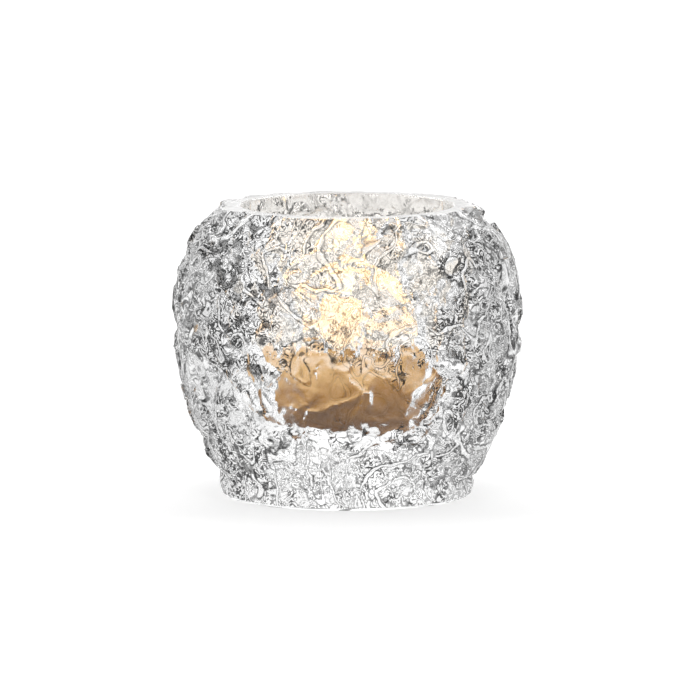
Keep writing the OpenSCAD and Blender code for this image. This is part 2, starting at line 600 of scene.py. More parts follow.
@dataclass(frozen=True)
class GlowingWax:
    """Paraffin wax lit from within by its flame, as a painted glow: amber low down, pale at the top."""

    foot: float
    top: float
    ior: float = 1.44
    shine: float = 0.2
    cream: Colour = (0.08, 0.03, 0.004, 1.0)
    glow: float = 0.8
    glow_colours: Stops = (
        (0.0, (0.085, 0.030, 0.0, 1.0)),
        (0.45, (0.41, 0.18, 0.015, 1.0)),
        (0.75, (0.92, 0.56, 0.22, 1.0)),
        (1.0, (1.3, 1.06, 0.84, 1.0)),
    )
    above_foot: float = 2 * MM
    above_top: float = 5 * MM
    cloud: float = 8 * MM
    cloud_reach: float = 7 * MM
    cloud_edge: Span = (0.35, 0.7)
    satin: Span = (0.35, 0.55)
    grain: float = 1.2 * MM
    grain_depth: float = 0.05 * MM
    grain_strength: float = 0.5
    softness: float = 0.5
    soft_depth: float = 4 * MM
    soft_colours: tuple[float, float, float] = (1.0, 0.55, 0.3)

    def build(self) -> bpy.types.Material:
        """Returns the finished material."""
        material, graph, place = new_material("glowing_wax")
        clouds = graph.noise(place, self.cloud, detail=3.0, distortion=0.4)
        waver = graph.maths("MULTIPLY_ADD", clouds, self.cloud_reach, graph.axis(place, "Z"))
        share = graph.eased(waver, self.foot + self.above_foot, self.top + self.above_top, 0.0, 1.0)
        grain = graph.noise(place, self.grain, detail=3.0)
        # The emission is a painted glow of the flame's light; the dark base colour leaves most of the colour
        # to it.
        graph.surface({
            "Base Color": self.cream, "Roughness": graph.eased(clouds, *self.cloud_edge, *self.satin),
            "IOR": self.ior, "Specular IOR Level": self.shine, "Subsurface Weight": self.softness,
            "Subsurface Radius": self.soft_colours, "Subsurface Scale": self.soft_depth,
            "Emission Color": graph.ramp(share, self.glow_colours), "Emission Strength": self.glow,
            "Normal": graph.bumped(grain, self.grain_depth, self.grain_strength)})
        return material


@dataclass(frozen=True)
class MoltenWax:
    """The pool of molten wax round the wick, with a painted glow of the flame's warm light, under a glossy
    skin.
    """

    tint: Colour = (1.0, 0.93, 0.78, 1.0)
    painted_flame_light: Colour = (1.0, 0.72, 0.44, 1.0)
    glow: float = 0.55
    ior: float = 1.12
    see_through: float = 0.8
    skin_ior: float = 1.43
    ripple: float = 6 * MM
    ripple_depth: float = 0.08 * MM
    ripple_strength: float = 0.5

    def build(self) -> bpy.types.Material:
        """Returns the finished material."""
        material, graph, place = new_material("molten_wax")
        ripple = graph.noise(place, self.ripple, detail=1.0)
        normal = graph.bumped(ripple, self.ripple_depth, self.ripple_strength)
        # The emission is a painted glow of the flame's light.
        graph.surface({
            "Base Color": self.tint, "Roughness": 0.0, "IOR": self.ior,
            "Transmission Weight": self.see_through, "Coat Weight": 1.0, "Coat IOR": self.skin_ior,
            "Coat Roughness": 0.0, "Emission Color": self.painted_flame_light, "Emission Strength": self.glow,
            "Normal": normal, "Coat Normal": normal})
        return material


@dataclass(frozen=True)
class CharredCotton:
    """Braided cotton, soaked in wax below, burnt black above, with a glowing tip."""

    char_from: float
    char_to: float
    tip: float
    cotton_colours: Stops = (
        (0.0, (0.75, 0.66, 0.5, 1.0)),
        (0.5, (0.2, 0.11, 0.05, 1.0)),
        (1.0, (0.012, 0.01, 0.009, 1.0)),
    )
    ember_colours: Stops = (
        (0.0, grey(0.0)),
        (0.6, (0.4, 0.05, 0.005, 1.0)),
        (1.0, (1.0, 0.3, 0.05, 1.0)),
    )
    ember_below: float = 1.0 * MM
    ember_above: float = 0.6 * MM
    ember_glow: float = 3.0
    fibre: float = 0.4 * MM
    fibre_reach: float = 1.2 * MM
    fibre_depth: float = 0.08 * MM
    roughness: float = 0.85

    def build(self) -> bpy.types.Material:
        """Returns the finished material."""
        material, graph, place = new_material("charred_cotton")
        fibres = graph.noise(place, self.fibre, detail=4.0, roughness=0.7)
        waver = graph.maths("MULTIPLY_ADD", fibres, self.fibre_reach, graph.axis(place, "Z"))
        burnt = graph.eased(waver, self.char_from, self.char_to, 0.0, 1.0)
        ember = graph.eased(waver, self.tip - self.ember_below, self.tip + self.ember_above, 0.0, 1.0)
        graph.surface({
            "Base Color": graph.ramp(burnt, self.cotton_colours), "Roughness": self.roughness,
            "Emission Color": graph.ramp(ember, self.ember_colours), "Emission Strength": self.ember_glow,
            "Normal": graph.bumped(fibres, self.fibre_depth)})
        return material


@dataclass(frozen=True)
class TinnedSteel:
    """Thin tinned sheet steel with rolling marks."""

    mark: float = 1.5 * MM
    mark_drawn: float = 8.0
    mark_edge: Span = (0.3, 0.7)
    satin: Span = (0.22, 0.4)
    colours: Stops = ((0.2, (0.58, 0.58, 0.59, 1.0)), (0.8, (0.74, 0.74, 0.75, 1.0)))

    def build(self) -> bpy.types.Material:
        """Returns the finished material."""
        material, graph, place = new_material("tinned_steel")
        drawn_out = graph.vectors("MULTIPLY", place, (1.0, self.mark_drawn, 1.0))
        rolled = graph.noise(drawn_out, self.mark, detail=3.0)
        graph.surface({
            "Base Color": graph.ramp(rolled, self.colours), "Metallic": 1.0,
            "Roughness": graph.eased(rolled, *self.mark_edge, *self.satin)})
        return material


@dataclass(frozen=True)
class CandleFlame:
    """The flame: a dim foot, a near-white body and an orange tip."""

    foot: float
    top: float
    strength: float = 1.8
    colours: Stops = (
        (0.0, (0.55, 0.36, 0.22, 1.0)),
        (0.12, (0.95, 0.68, 0.42, 1.0)),
        (0.3, (1.0, 0.90, 0.74, 1.0)),
        (0.6, (1.0, 0.88, 0.66, 1.0)),
        (0.85, (1.0, 0.72, 0.34, 1.0)),
        (1.0, (0.85, 0.42, 0.12, 1.0)),
    )

    def build(self) -> bpy.types.Material:
        """Returns the finished material."""
        material, graph, place = new_material("candle_flame")
        share = graph.eased(graph.axis(place, "Z"), self.foot, self.top, 0.0, 1.0)
        graph.surface({
            "Base Color": grey(0.0), "Roughness": 1.0, "Emission Color": graph.ramp(share, self.colours),
            "Emission Strength": self.strength})
        return material


@dataclass(frozen=True)
class Surroundings:
    """What the glass sees of the studio: a bright tent with narrow dark strips winding over it."""

    middle: tuple[float, float, float] = (0.0, 0.0, 35 * MM)
    patch: float = 0.55
    strips: float = 12.0
    strip_width: float = 0.34
    edge: float = 0.25
    bright: float = 1.3
    dark: float = 0.20

    def light(self, graph: Graph, way: Socket) -> Socket:
        """Adds how bright the studio is in each direction.

        Args:
            graph: The graph to grow.
            way: The direction, of length one.

        Returns:
            The brightness.
        """
        cloud = graph.noise(way, self.patch, detail=0.0, distortion=0.3)
        wave = graph.maths("COSINE", graph.maths("MULTIPLY", cloud, math.tau * self.strips))
        border = math.cos(math.pi * self.strip_width)
        return graph.eased(wave, border - self.edge, border + self.edge, self.bright, self.dark)


@dataclass(frozen=True)
class PaleFloor:
    """A plain pale floor, a little brighter towards the back, with a faint shade in front of the foot.

    The glass sees the studio's strips in it, but not close to the foot.
    """

    surroundings: Surroundings
    pale: float = 0.8
    near: float = 0.37
    far: float = 0.49
    brightening: Span = (-0.16, 0.06)
    shade: float = 0.10
    shade_out: Span = (42 * MM, 90 * MM)
    shade_back: Span = (-40 * MM, -5 * MM)
    clear: Span = (45 * MM, 240 * MM)
    clear_light: float = 0.98

    def build(self) -> bpy.types.Material:
        """Returns the finished material."""
        material, graph, place = new_material("pale_floor")
        away = graph.vectors("SUBTRACT", place, self.surroundings.middle)
        strips = self.surroundings.light(graph, graph.vectors("NORMALIZE", away))
        reach = graph.length(place)
        strips = graph.mixed(graph.eased(reach, *self.clear, 0.0, 1.0), self.clear_light, strips)
        depth = graph.axis(place, "Y")
        shown = graph.eased(depth, *self.brightening, self.near, self.far)
        shaded = graph.maths("MULTIPLY", graph.eased(reach, *self.shade_out, self.shade, 0.0),
                             graph.eased(depth, *self.shade_back, 1.0, 0.0))
        shown = graph.maths("SUBTRACT", shown, shaded)
        seen = graph.node("ShaderNodeLightPath").outputs["Is Camera Ray"]
        graph.surface({
            "Base Color": graph.grey(graph.maths("MULTIPLY", seen, self.pale)), "Roughness": 1.0,
            "Specular IOR Level": 0.0, "Emission Color": grey(1.0),
            "Emission Strength": graph.mixed(seen, strips, shown)})
        return material


def clear_selection() -> None:
    """Leaves edit mode and deselects everything."""
    if bpy.context.object is not None and bpy.context.object.mode != "OBJECT":
        bpy.ops.object.mode_set(mode="OBJECT")
    bpy.ops.object.select_all(action="DESELECT")


def make_active(piece: bpy.types.Object) -> None:
    """Selects one piece alone and makes it active."""
    clear_selection()
    piece.select_set(True)
    bpy.context.view_layer.objects.active = piece


def smooth(piece: bpy.types.Object, sharp_above: float) -> None:
    """Shades a piece smooth, apart from edges that turn by more than an angle in degrees."""
    make_active(piece)
    bpy.ops.object.shade_smooth_by_angle(angle=math.radians(sharp_above))


def turned(name: str, outline: Outline, columns: int) -> bpy.types.Object:
    """Draws an outline by extruding a single vertex along it, then turns it round the Z axis.

    Args:
        name: The piece's name.
        outline: Radius and height of each point, in metres.
        columns: Steps round the axis.

    Returns:
        The turned skin, with merged seam and poles.
    """
    merged_within = 0.005 * MM
    clear_selection()
    bpy.ops.mesh.primitive_plane_add(size=MM, location=(0, 0, 0))
    piece = bpy.context.object
    piece.name = piece.data.name = name
    bpy.ops.object.mode_set(mode="EDIT")
    bpy.ops.mesh.select_all(action="SELECT")
    bpy.ops.mesh.merge(type="CENTER")
    radius, height = outline[0]
    bpy.ops.transform.translate(value=(radius, 0, height))
    for (radius, height), (next_radius, next_height) in zip(outline, outline[1:]):
        step = (next_radius - radius, 0, next_height - height)
        bpy.ops.mesh.extrude_region_move(TRANSFORM_OT_translate={"value": step})
    bpy.ops.object.mode_set(mode="OBJECT")
    screw = piece.modifiers.new("turning", "SCREW")
    screw.axis, screw.angle = "Z", math.tau
    screw.steps = screw.render_steps = columns
    screw.use_merge_vertices, screw.merge_threshold = True, merged_within
    make_active(piece)
    bpy.ops.object.modifier_apply(modifier="turning")
    bpy.ops.object.mode_set(mode="EDIT")
    bpy.ops.mesh.select_all(action="SELECT")
    bpy.ops.mesh.remove_doubles(threshold=merged_within)
    bpy.ops.mesh.normals_make_consistent(inside=False)
    bpy.ops.object.mode_set(mode="OBJECT")
    return piece


def arc(centre: Span, radius: float, start: float, end: float, steps: int) -> Outline:
    """Returns the points of an arc in the outline's plane.

    Args:
        centre: Radius and height of the arc's centre.
        radius: The arc's own radius.
        start: First angle, in degrees from straight out.
        end: Last angle, in degrees.
        steps: Steps along the arc.

    Returns:
        The arc's points.
    """
    angles = [math.radians(start + (end - start) * i / steps) for i in range(steps + 1)]
    return [(centre[0] + radius * math.cos(a), centre[1] + radius * math.sin(a)) for a in angles]


def even_steps(outline: Outline, spacing: float) -> Outline:
    """Spreads points evenly along an outline.

    Args:
        outline: The outline's points.
        spacing: Greatest distance between neighbours, in metres.

    Returns:
        The new points, with both ends kept.
    """
    lengths = [math.dist(a, b) for a, b in zip(outline, outline[1:])]
    total = sum(lengths)
    count = math.ceil(total / spacing)
    points, piece, run = [outline[0]], 0, 0.0
    for i in range(1, count):
        target = total * i / count
        while run + lengths[piece] < target:
            run += lengths[piece]
            piece += 1
        share = (target - run) / lengths[piece]
        a, b = outline[piece], outline[piece + 1]
        points.append((a[0] + (b[0] - a[0]) * share, a[1] + (b[1] - a[1]) * share))
    return points + [outline[-1]]


@dataclass
class Relief:
    """The icy relief: how deep each of its features is cut below the glass's envelope."""

    lump: float = 17 * MM
    lump_depth: float = 1.8 * MM
    lump_drawn: float = 0.85
    lump_fullness: float = 2.0
    plate: float = 9.0 * MM
    plate_depth: float = 0.45 * MM
    plate_fullness: float = 2.6
    plate_tilt: float = 0.14
    plate_shift: tuple[float, float, float] = (0.31, 0.17, 0.23)
    fold: float = 16 * MM
    fold_drawn: float = 0.6
    fold_count: float = 8.0
    fold_depth: float = 0.30 * MM
    fold_half: float = 0.16
    pebble: float = 3.4 * MM
    pebble_depth: float = 0.22 * MM
    pebble_softness: float = 0.25
    grit: float = 1.6 * MM
    grit_depth: float = 0.10 * MM
    proud: float = 0.35 * MM
    bends: tuple[Span, ...] = ((14 * MM, 9 * MM), (4 * MM, 3.0 * MM))
    above_foot: Span = (0.7 * MM, 4.0 * MM)
    calm_middle: Span = (-4 * MM, 28 * MM)
    calm_half: Span = (28 * MM, 12 * MM)
    calm_edge: Span = (0.7, 1.1)
    calm_share: float = 0.3
    calm_lumps: float = 0.6
    behind: Span = (-8 * MM, 0.0)

    def tree(self) -> bpy.types.NodeTree:
        """Builds the geometry nodes that push a skin inwards by the relief's depth.

        Returns:
            The node tree, for a geometry nodes modifier.
        """
        tree = bpy.data.node_groups.new("icy_relief", "GeometryNodeTree")
        tree.interface.new_socket("Geometry", in_out="INPUT", socket_type="NodeSocketGeometry")
        tree.interface.new_socket("Geometry", in_out="OUTPUT", socket_type="NodeSocketGeometry")
        graph = Graph(tree)
        place = graph.node("GeometryNodeInputPosition").outputs[0]
        bent = place
        for size, reach in self.bends:
            bent = self.wandering(graph, bent, size, reach)
        phase = self.ridge_phase(graph, bent)
        depth = graph.maths("SUBTRACT", self.depth(graph, bent, phase, self.calm(graph, place)), self.proud)
        depth = graph.maths("MAXIMUM", depth, 0.0)
        mask = graph.eased(graph.axis(place, "Z"), *self.above_foot, 0.0, 1.0)
        push = graph.maths("MULTIPLY", graph.maths("MULTIPLY", depth, mask), -1.0)
        normal = graph.node("GeometryNodeInputNormal").outputs[0]
        skin = graph.node("NodeGroupInput").outputs[0]
        marks = (
            ("FLOAT_VECTOR", {"Name": PLAIN_WAY, 3: normal}),
            ("FLOAT", {"Name": RIDGE_PHASE, "Value": phase}),
        )
        for kind, mark in marks:
            skin = graph.node("GeometryNodeStoreNamedAttribute", {"Geometry": skin, **mark},
                              data_type=kind, domain="POINT").outputs[0]
        offset = graph.scaled(normal, push)
        moved = graph.node("GeometryNodeSetPosition", {"Geometry": skin, "Offset": offset})
        graph.node("NodeGroupOutput", {0: moved.outputs[0]})
        return tree

    def wandering(self, graph: Graph, place: Socket, size: float, reach: float) -> Socket:
        """Bends the coordinates, so that the cells have wavy borders.

        Args:
            graph: The graph to grow.
            place: The coordinates, in metres.
            size: How broad the bends are.
            reach: How far they reach.

        Returns:
            The bent coordinates.
        """
        colour = graph.noise(place, size, detail=2.0, output="Color")
        aside = graph.scaled(graph.vectors("SUBTRACT", colour, (0.5, 0.5, 0.5)), reach)
        return graph.vectors("ADD", place, aside)

    def domes(self, graph: Graph, place: Socket, size: float, depth: float, fullness: float) -> Socket:
        """Cuts sharp valleys between convex domes.

        Args:
            graph: The graph to grow.
            place: The coordinates, in metres.
            size: Width of a dome.
            depth: Depth of the valleys.
            fullness: How soon a dome rises from its valley; more is flatter on top.

        Returns:
            The depth below the domes' tops.
        """
        edge = graph.cells(place, size, "DISTANCE_TO_EDGE").outputs["Distance"]
        inward = graph.maths("MINIMUM", graph.maths("MULTIPLY", edge, fullness), 1.0)
        rest = graph.maths("SUBTRACT", 1.0, inward)
        crown = graph.maths("SQRT", graph.maths("SUBTRACT", 1.0, graph.maths("MULTIPLY", rest, rest)))
        return graph.maths("MULTIPLY", graph.maths("SUBTRACT", 1.0, crown), depth)

    def tilts(self, graph: Graph, place: Socket) -> Socket:
        """Leans each plate its own way, as broken ice lies.

        Args:
            graph: The graph to grow.
            place: The coordinates, in metres.

        Returns:
            The depth that the lean adds or takes, in metres.
        """
        plates = graph.cells(place, self.plate, "F1").outputs
        way = graph.vectors("SUBTRACT", plates["Color"], (0.5, 0.5, 0.5))
        way = graph.scaled(way, 2 * self.plate_tilt)
        from_centre = graph.vectors("SUBTRACT", place, plates["Position"])
        lean = graph.node("ShaderNodeVectorMath", {0: from_centre, 1: way}, operation="DOT_PRODUCT")
        return lean.outputs["Value"]

    def ridge_phase(self, graph: Graph, bent: Socket) -> Socket:
        """Lays out the long ridges: one runs wherever this value's fraction passes a half."""
        drawn_out = graph.vectors("MULTIPLY", bent, (1.0, 1.0, self.fold_drawn))
        course = graph.noise(drawn_out, self.fold, detail=1.0, distortion=0.4)
        return graph.maths("MULTIPLY", course, self.fold_count)

    def calm(self, graph: Graph, place: Socket) -> Socket:
        """Says how strong the lumps, leaning plates and ridges are: they calm down in front of the wax.

        Args:
            graph: The graph to grow.
            place: The coordinates, in metres.

        Returns:
            The share, one away from the calm part of the front.
        """
        away = graph.oval(place, self.calm_middle, self.calm_half)
        share = graph.eased(away, *self.calm_edge, self.calm_share, 1.0)
        return graph.maths("MAXIMUM", share, graph.eased(graph.axis(place, "Y"), *self.behind, 0.0, 1.0))

    def depth(self, graph: Graph, bent: Socket, phase: Socket, calm: Socket) -> Socket:
        """Adds up the depth of the lumps, plates, ridges, pebbles and grit.

        Args:
            graph: The graph to grow.
            bent: The bent coordinates, in metres.
            phase: Where the long ridges run.
            calm: The share that is left of the lumps, of the plates' lean and of the ridges.

        Returns:
            The depth below the envelope, in metres.
        """
        drawn_out = graph.vectors("MULTIPLY", bent, (1.0, 1.0, self.lump_drawn))
        lumps = self.domes(graph, drawn_out, self.lump, self.lump_depth, self.lump_fullness)
        total = graph.maths("MULTIPLY", lumps, graph.maths("MAXIMUM", calm, self.calm_lumps))
        shifted = graph.vectors("ADD", bent, self.plate_shift)
        plates = self.domes(graph, shifted, self.plate, self.plate_depth, self.plate_fullness)
        total = graph.maths("ADD", total, plates)
        total = graph.maths("MULTIPLY_ADD", self.tilts(graph, shifted), calm, total)
        folds = graph.eased(graph.off_ridge(phase), 0.0, self.fold_half, 0.0, self.fold_depth)
        total = graph.maths("MULTIPLY_ADD", folds, calm, total)
        pebbles = graph.cells(bent, self.pebble, "SMOOTH_F1", Smoothness=self.pebble_softness)
        total = graph.maths("ADD", total, graph.maths("MULTIPLY", pebbles.outputs["Distance"],
                                                      self.pebble_depth))
        grit = graph.noise(bent, self.grit, detail=2.0, roughness=0.6)
        return graph.maths("MULTIPLY_ADD", grit, self.grit_depth, total)


@dataclass
class GlassBowl:
    """The thick glass bowl, with its icy outside, ground rim, smooth well and flat foot."""

    node: str = "glass_bowl"
    columns: int = 512
    levels: int = 140
    row_spacing: float = 0.46 * MM
    well_spacing: float = 3.0 * MM
    well_corner: float = 2.5 * MM
    corner_steps: int = 8
    past_corner: float = 1.1
    mouth_bevel: float = 0.5 * MM
    past_bevel: float = 1.2
    bevel_belly: float = 0.4
    foot_bevel: float = 0.6 * MM
    foot_rings: tuple[float, ...] = (0.0, 0.35, 0.7, 0.93, 1.0)
    floor_rings: tuple[float, ...] = (0.9, 0.6, 0.3, 0.0)
    below_rim: float = 0.05 * MM
    overshoot: float = 2.6 * MM
    cut_within: float = 1e-6
    rim_within: float = 0.01 * MM
    mouth_depth: float = 1.0 * MM
    mouth_margin: float = 1.0 * MM
    plain_below: float = 0.8 * MM
    well_above: float = 5 * MM
    sharp_above: float = 45.0
    relief: Relief = field(default_factory=Relief)

    def __post_init__(self) -> None:
        """Reads the glass's height and its surfaces from the frame."""
        self.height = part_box(self.node)[1].z
        source = frame["nodes"][self.node]
        self.surface = BVHTree.FromObject(source, bpy.context.evaluated_depsgraph_get())

    def wall_radius(self, height: float, outside: bool) -> float:
        """Measures the glass's outer or inner radius.

        Args:
            height: Height above the foot, in metres.
            outside: True for the outside, False for the well.

        Returns:
            The radius at that height, in metres.
        """
        beyond = 0.1
        start, way = ((beyond, 0, height), (-1, 0, 0)) if outside else ((0, 0, height), (1, 0, 0))
        return abs(self.surface.ray_cast(Vector(start), Vector(way))[0].x)

    def outer_outline(self) -> Outline:
        """Returns the foot's and the outside's outline, run on past the rim so that the rim can be cut."""
        low, high = self.foot_bevel, self.height - self.below_rim
        heights = [low + (high - low) * i / self.levels for i in range(self.levels + 1)]
        side = [(self.wall_radius(height, True), height) for height in heights]
        (before, low_z), (last, high_z) = side[-3], side[-1]
        slope = (last - before) / (high_z - low_z)
        side.append((last + slope * self.overshoot, high_z + self.overshoot))
        foot = side[0][0] - self.foot_bevel
        return [(foot * share, 0.0) for share in self.foot_rings] + even_steps(side, self.row_spacing)

    def well_outline(self) -> Outline:
        """Returns the mouth's bevel, the well's wall and its floor, from the rim inwards."""
        top, bevel, corner = self.height, self.mouth_bevel, self.well_corner
        floor = self.surface.ray_cast(Vector((0, 0, top + corner)), -UP)[0].z
        upper = self.wall_radius(top - self.past_bevel * bevel, False)
        lower = self.wall_radius(floor + self.past_corner * corner, False)
        belly = self.bevel_belly * bevel
        mouth = [(upper + bevel, top), (upper + belly, top - belly), (upper, top - bevel)]
        wall = even_steps([(upper, top - bevel), (lower, floor + corner)], self.well_spacing)[1:]
        bend = arc((lower - corner, floor + corner), corner, 0, -90, self.corner_steps)[1:]
        return mouth + wall + bend + [((lower - corner) * share, floor) for share in self.floor_rings]

    def build(self, icy: bpy.types.Material, polished: bpy.types.Material,
              ground: bpy.types.Material) -> bpy.types.Object:
        """Turns the glass, cuts its relief, grinds its rim and closes it on to the well.

        Args:
            icy: Finish of the rough outside.
            polished: Finish of the well and foot.
            ground: Finish of the rim.

        Returns:
            The finished piece.
        """
        piece = turned("icy_bowl", self.outer_outline(), self.columns)
        for finish in (icy, polished, ground):
            piece.data.materials.append(finish)
        carve = piece.modifiers.new("relief", "NODES")
        carve.node_group = self.relief.tree()
        make_active(piece)
        bpy.ops.object.modifier_apply(modifier="relief")
        self.grind_rim(piece)
        well = turned("well", self.well_outline(), self.columns // 2)
        self.close_rim(piece, well)
        self.dress(piece)
        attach(piece, Body.HOLDER.value)
        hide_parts(self.node)
        return piece

    def grind_rim(self, piece: bpy.types.Object) -> None:
        """Cuts the skin flat at the rim and clears what stands above it.

        Args:
            piece: The carved outside.
        """
        make_active(piece)
        bpy.ops.object.mode_set(mode="EDIT")
        bpy.ops.mesh.select_all(action="SELECT")
        bpy.ops.mesh.bisect(plane_co=(0, 0, self.height), plane_no=(0, 0, 1), clear_outer=True,
                            threshold=self.cut_within)
        bpy.ops.mesh.select_all(action="SELECT")
        bpy.ops.mesh.fill_holes(sides=self.columns // 4)
        bpy.ops.mesh.select_all(action="DESELECT")
        shape = bmesh.from_edit_mesh(piece.data)
        min(shape.verts, key=lambda vertex: vertex.co.length).select_set(True)
        bpy.ops.mesh.select_linked()
        bpy.ops.mesh.select_all(action="INVERT")
        bpy.ops.mesh.delete(type="VERT")
        bpy.ops.object.mode_set(mode="OBJECT")

    def close_rim(self, piece: bpy.types.Object, well: bpy.types.Object) -> None:
        """Joins the well to the outside and bridges the ground rim between them.

        Args:
            piece: The carved outside.
            well: The well's skin.
        """
        clear_selection()
        well.select_set(True)
        piece.select_set(True)
        bpy.context.view_layer.objects.active = piece
        bpy.ops.object.join()
        bpy.ops.object.mode_set(mode="EDIT")
        bpy.ops.mesh.select_all(action="DESELECT")
        shape = bmesh.from_edit_mesh(piece.data)
        shape.select_mode = {"EDGE"}
        for edge in shape.edges:
            edge.select_set(edge.is_boundary)
        bmesh.update_edit_mesh(piece.data)
        bpy.ops.mesh.bridge_edge_loops()
        bpy.ops.mesh.select_all(action="SELECT")
        bpy.ops.mesh.normals_make_consistent(inside=False)
        bpy.ops.object.mode_set(mode="OBJECT")

    def dress(self, piece: bpy.types.Object) -> None:
        """Polishes the well and foot, grinds the rim, leaves the rest icy, and shades the whole smooth.

        Args:
            piece: The closed bowl.
        """
        inner = self.wall_radius(self.height - self.mouth_depth, False) + self.mouth_margin
        for face in piece.data.polygons:
            x, y, z = face.center
            on_rim = z > self.height - self.rim_within
            in_well = math.hypot(x, y) < inner and z > self.well_above
            face.material_index = 2 if on_rim else 1 if in_well or z < self.plain_below else 0
        smooth(piece, self.sharp_above)


@dataclass
class Tealight:
    """The tealight: clear cup, glowing wax with its molten pool, braided wick, clip and flame."""

    wick_radius: float = 0.95 * MM
    wick_corners: int = 24
    wick_steps: int = 70
    wick_short: float = 0.3 * MM
    strands: int = 3
    strand_waist: float = 0.72
    strand_swell: float = 0.26
    twist: float = 26.0
    taper_from: float = 0.8
    taper_by: float = 0.35
    curl_radius: float = 4.0 * MM
    curl_angle: float = 50.0
    char: Span = (0.5 * MM, 3 * MM)
    wax_columns: int = 128
    wax_edge: float = 0.8 * MM
    wax_edge_steps: int = 6
    wax_bevel: float = 0.3 * MM
    wax_spacing: float = 1.5 * MM
    wax_sharp: float = 50.0
    dish_land: float = 1.6 * MM
    dish_depth: float = 1.6 * MM
    dish_curve: tuple[Span, ...] = ((0.0, 0.0), (0.6, 0.35), (1.4, 0.85), (2.2, 1.0))
    dish_rings: tuple[float, ...] = (0.75, 0.5, 0.25, 0.0)
    pool_columns: int = 96
    pool_depth: float = 0.9 * MM
    pool_clear: float = 0.03 * MM
    pool_turn: float = 0.15 * MM
    pool_shore: tuple[Span, ...] = ((0.0, 0.12 * MM), (0.5 * MM, 0.03 * MM), (1.5 * MM, 0.0))
    pool_rise: tuple[Span, ...] = ((2 * MM, 0.0), (0.9 * MM, 0.08 * MM), (0.3 * MM, 0.35 * MM))
    pool_at_wick: float = 0.6 * MM
    round_above: float = 60.0
    flame_foot: float = 2.4 * MM
    flame_height: float = 19 * MM
    flame_coloured: float = 21 * MM
    flame_radius: float = 3.4 * MM
    flame_rows: int = 28
    flame_columns: int = 48
    flame_low: float = 0.62
    flame_slim: float = 0.28
    flame_lean: float = 1.6 * MM
    flame_lean_pace: float = 1.4
    flame_sway: float = 0.4 * MM
    flame_sway_pace: float = 5.0

    def __post_init__(self) -> None:
        """Reads the wax's and wick's places from the frame."""
        self.wax_low, self.wax_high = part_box("wax_slug")
        self.wick_low, self.wick_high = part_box("wick")
        self.dish_level = self.wax_high.z - self.dish_depth
        curl = math.radians(self.curl_angle)
        self.wick_straight = (self.wick_high.z - self.wick_low.z
                              - (self.curl_radius + self.wick_radius) * math.sin(curl))

    def build_cup(self, finish: bpy.types.Material) -> bpy.types.Object:
        """Dresses the cup, whose moulded shape is right as it is."""
        cup = frame["nodes"]["tealight_cup"]
        cup.data.materials.clear()
        cup.data.materials.append(finish)
        return cup

    def build_wax(self, finish: bpy.types.Material) -> bpy.types.Object:
        """Turns the wax with its rounded edge and burnt dish.

        Args:
            finish: The wax's finish.

        Returns:
            The finished piece.
        """
        radius, low, high, bevel = self.wax_high.x, self.wax_low.z, self.wax_high.z, self.wax_bevel
        outline = [(0.0, low), (radius * 0.5, low), (radius - bevel, low), (radius, low + bevel)]
        outline += even_steps([outline[-1], (radius, high - self.wax_edge)], self.wax_spacing)[1:]
        centre = (radius - self.wax_edge, high - self.wax_edge)
        outline += arc(centre, self.wax_edge, 0, 90, self.wax_edge_steps)[1:]
        dish, depth = radius - self.dish_land, self.dish_depth
        outline += [(dish - inward * depth, high - down * depth) for inward, down in self.dish_curve]
        floor = outline[-1][0]
        outline += [(floor * share, self.dish_level) for share in self.dish_rings]
        piece = turned("wax_body", outline, self.wax_columns)
        piece.data.materials.append(finish)
        smooth(piece, self.wax_sharp)
        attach(piece, Body.CANDLE.value)
        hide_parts("wax_slug")
        return piece

    def build_pool(self, finish: bpy.types.Material) -> bpy.types.Object:
        """Turns the pool of molten wax, with its skin drawn up at the wick and at the shore.

        Args:
            finish: The molten wax's finish.

        Returns:
            The finished piece.
        """
        top = self.dish_level + self.pool_depth
        shore = self.wax_high.x - self.dish_land - self.dish_depth
        under = self.dish_level + self.pool_clear
        wick = self.wick_radius
        outline = [(0.0, under), (shore * 0.5, under), (shore * 0.8, under + self.pool_turn)]
        outline += [(shore - inward, top + up) for inward, up in self.pool_shore]
        outline += [(shore * 0.6, top)]
        outline += [(wick + out, top + up) for out, up in self.pool_rise]
        outline += [(wick * 0.5, top + self.pool_at_wick), (0.0, top + self.pool_at_wick)]
        piece = turned("melt_pool", outline, self.pool_columns)
        piece.data.materials.append(finish)
        smooth(piece, self.round_above)
        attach(piece, Body.CANDLE.value)
        return piece

    def wick_point(self, run: float) -> tuple[Vector, float]:
        """Follows the wick's centreline.

        Args:
            run: Distance from the wick's foot, in metres.

        Returns:
            The point there, and how far the wick leans towards -X, in radians.
        """
        if run <= self.wick_straight:
            return Vector((0, 0, self.wick_low.z + run)), 0.0
        lean = (run - self.wick_straight) / self.curl_radius
        x = -self.curl_radius * (1 - math.cos(lean))
        rise = self.curl_radius * math.sin(lean)
        return Vector((x, 0, self.wick_low.z + self.wick_straight + rise)), lean

